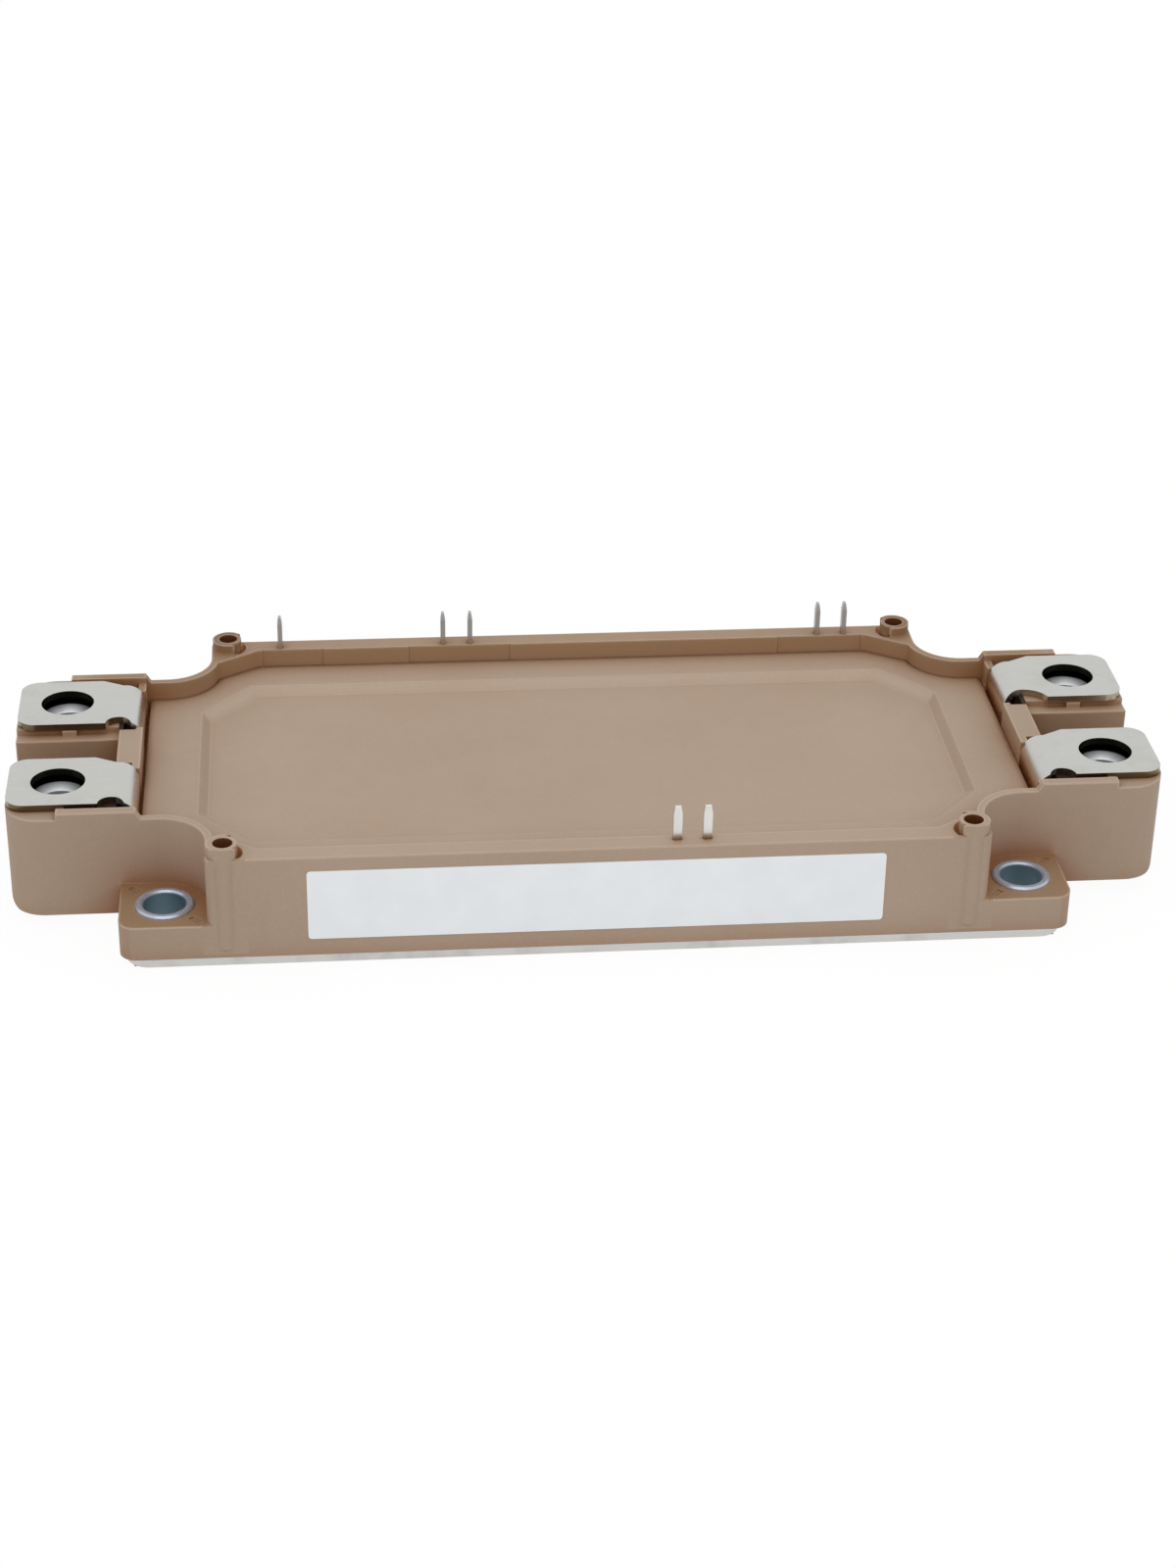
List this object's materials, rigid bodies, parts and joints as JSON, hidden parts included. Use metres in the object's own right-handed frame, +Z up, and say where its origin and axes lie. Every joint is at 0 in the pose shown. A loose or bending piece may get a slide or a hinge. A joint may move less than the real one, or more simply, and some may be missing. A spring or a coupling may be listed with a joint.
{
  "type": "igbt module",
  "caption": "Flat power semiconductor module: tan moulded housing with a sunk lid, screw terminals on both ends, thin signal pins, and a metal base plate with bushed screw holes.",
  "frame": {"origin": "centre of the base plate's underside, the face that meets the heatsink", "axes": "+X along the module towards the right-hand terminals, +Y away from the label side, +Z up from the heatsink"},
  "size_m": [0.15, 0.0618, 0.0205],
  "materials": {
    "housing_plastic": "fine moulded texture",
    "label_film": "plain satin film",
    "base_metal": "nickel plated, satin",
    "bushing_steel": "zinc plated",
    "terminal_nickel": "nickel plated, satin",
    "nut_zinc": "zinc plated",
    "pin_nickel": "tin plated",
    "substrate_ceramic": "sintered",
    "substrate_copper": "bare copper",
    "chip_silicon": "polished silicon",
    "wire_aluminium": "drawn wire",
    "thermistor_body": "glazed",
    "gel_clear": "soft clear gel"
  },
  "bodies": {
    "root": {"base_plate": "base_metal", "housing_frame": "housing_plastic", "lid": "housing_plastic", "label": "label_film", "bushing_front_left": "bushing_steel", "bushing_front_right": "bushing_steel", "bushing_back_left": "bushing_steel", "bushing_back_right": "bushing_steel", "power_terminal_front_left": "terminal_nickel", "power_terminal_front_right": "terminal_nickel", "power_terminal_back_left": "terminal_nickel", "power_terminal_back_right": "terminal_nickel", "terminal_nut_front_left": "nut_zinc", "terminal_nut_front_right": "nut_zinc", "terminal_nut_back_left": "nut_zinc", "terminal_nut_back_right": "nut_zinc", "signal_pin_back_1": "pin_nickel", "signal_pin_back_2": "pin_nickel", "signal_pin_back_3": "pin_nickel", "signal_pin_back_4": "pin_nickel", "signal_pin_back_5": "pin_nickel", "signal_pin_front_1": "pin_nickel", "signal_pin_front_2": "pin_nickel", "ceramic_tile_left": "substrate_ceramic", "ceramic_tile_middle": "substrate_ceramic", "ceramic_tile_right": "substrate_ceramic", "copper_underside_left": "substrate_copper", "copper_underside_middle": "substrate_copper", "copper_underside_right": "substrate_copper", "copper_tracks_left": "substrate_copper", "copper_tracks_middle": "substrate_copper", "copper_tracks_right": "substrate_copper", "igbt_high_left": "chip_silicon", "igbt_high_middle": "chip_silicon", "igbt_high_right": "chip_silicon", "igbt_low_left": "chip_silicon", "igbt_low_middle": "chip_silicon", "igbt_low_right": "chip_silicon", "diode_high_left": "chip_silicon", "diode_high_middle": "chip_silicon", "diode_high_right": "chip_silicon", "diode_low_left": "chip_silicon", "diode_low_middle": "chip_silicon", "diode_low_right": "chip_silicon", "bond_wires_left": "wire_aluminium", "bond_wires_middle": "wire_aluminium", "bond_wires_right": "wire_aluminium", "terminal_wires": "wire_aluminium", "signal_wires": "wire_aluminium", "thermistor": "thermistor_body", "silicone_gel": "gel_clear"}
  },
  "joints": []
}
